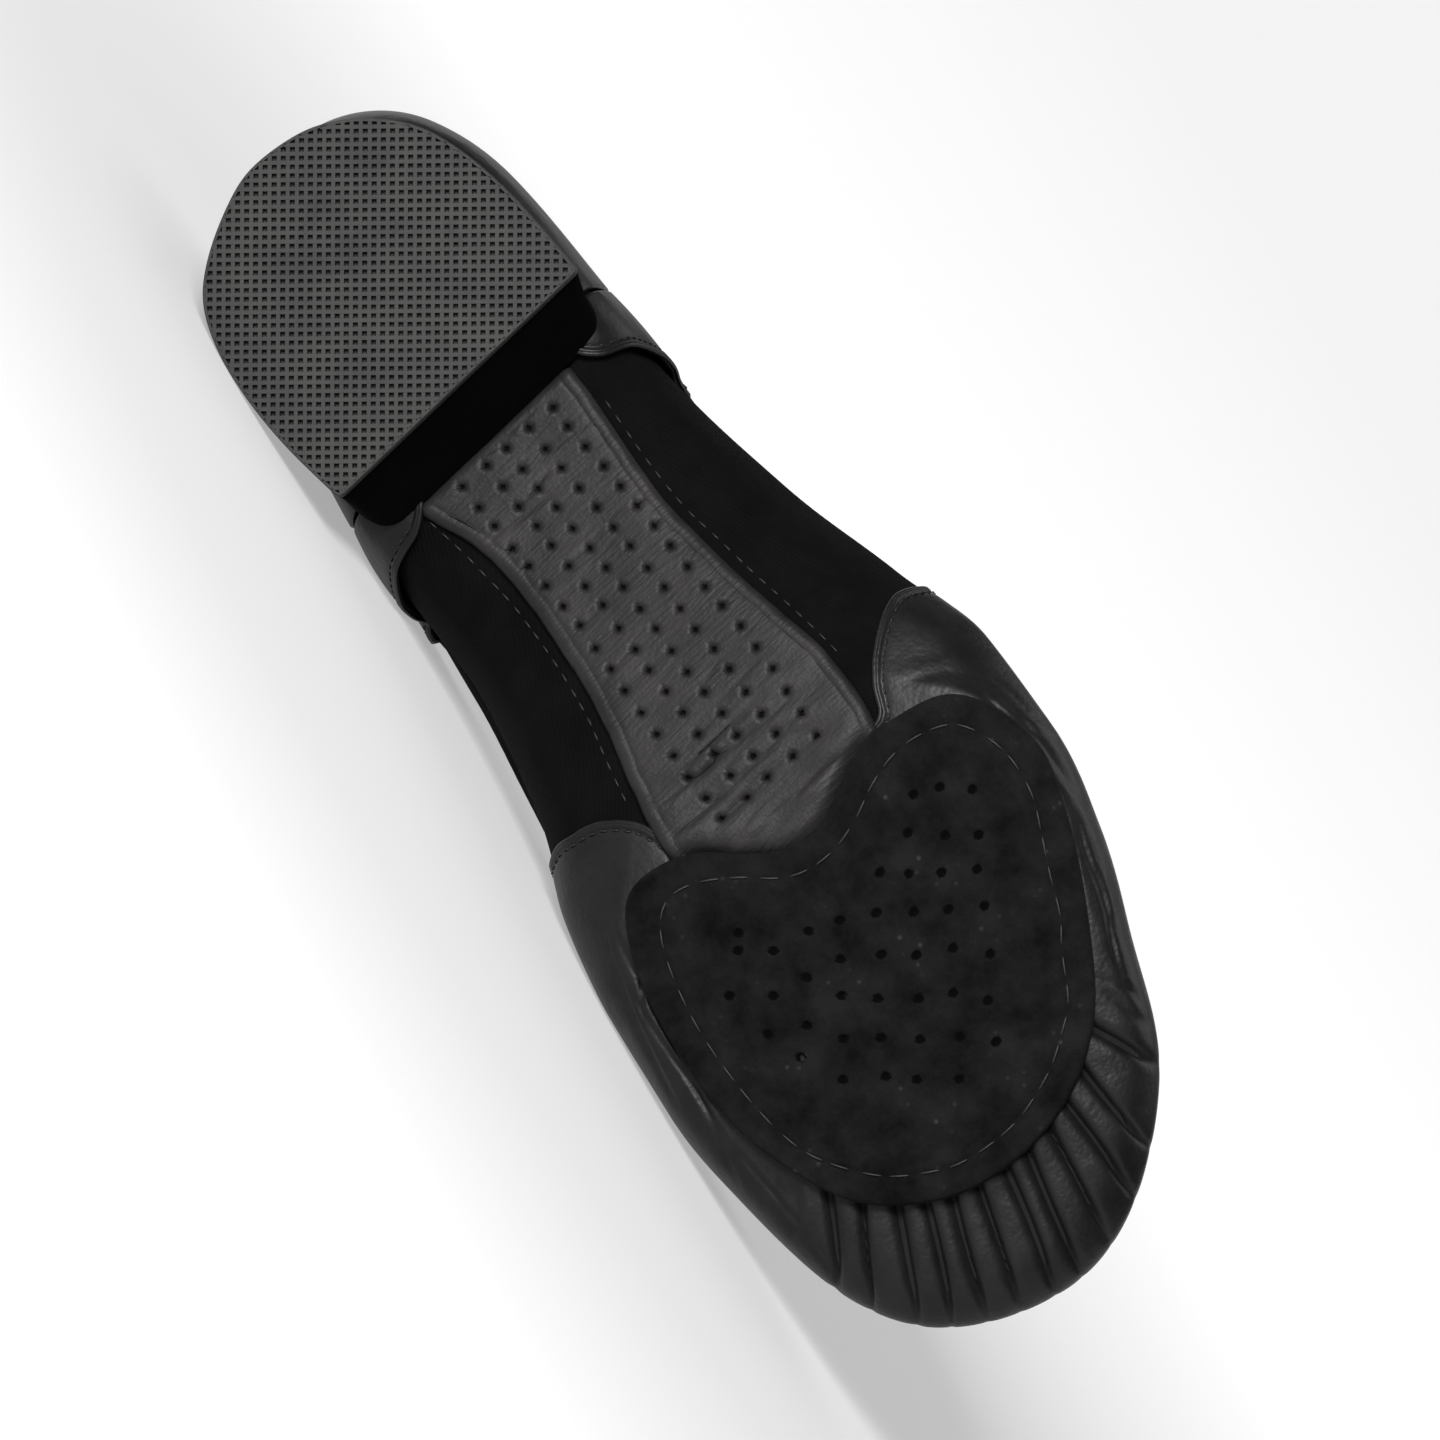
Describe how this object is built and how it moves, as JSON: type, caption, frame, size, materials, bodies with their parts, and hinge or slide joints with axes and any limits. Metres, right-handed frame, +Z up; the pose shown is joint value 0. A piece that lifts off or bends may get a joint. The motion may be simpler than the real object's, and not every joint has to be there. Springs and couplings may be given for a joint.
{
  "type": "jazz shoe",
  "caption": "Right split-sole slip-on jazz dance shoe lying on its inner side: hollow leather and stretch-cloth upper, suede forefoot patch, perforated arch strip, low rubber-tipped heel.",
  "frame": {"origin": "on the floor under the middle of the shoe's box, as it lies on its inner side", "axes": "+X from heel to toe along the floor, +Z up from the floor it lies on to its outer side, the sole faces -Y and the collar +Y"},
  "size_m": [0.2446, 0.0634, 0.0922],
  "materials": {
    "leather": "soft black glove leather with a low sheen",
    "perforated_leather": "worn charcoal leather, punched",
    "suede": "matt black suede",
    "heel_foam": "matt black heel foam",
    "tread_rubber": "dark grey rubber with fine square pits",
    "lining": "black lining cloth"
  },
  "bodies": {
    "root": {"upper": "leather", "heel_counter": "leather", "quarter_lateral": "leather", "quarter_medial": "leather", "arch_strip": "perforated_leather", "forefoot_sole": "suede", "heel_block": "heel_foam", "heel_tread": "tread_rubber", "insole": "lining"}
  },
  "joints": []
}
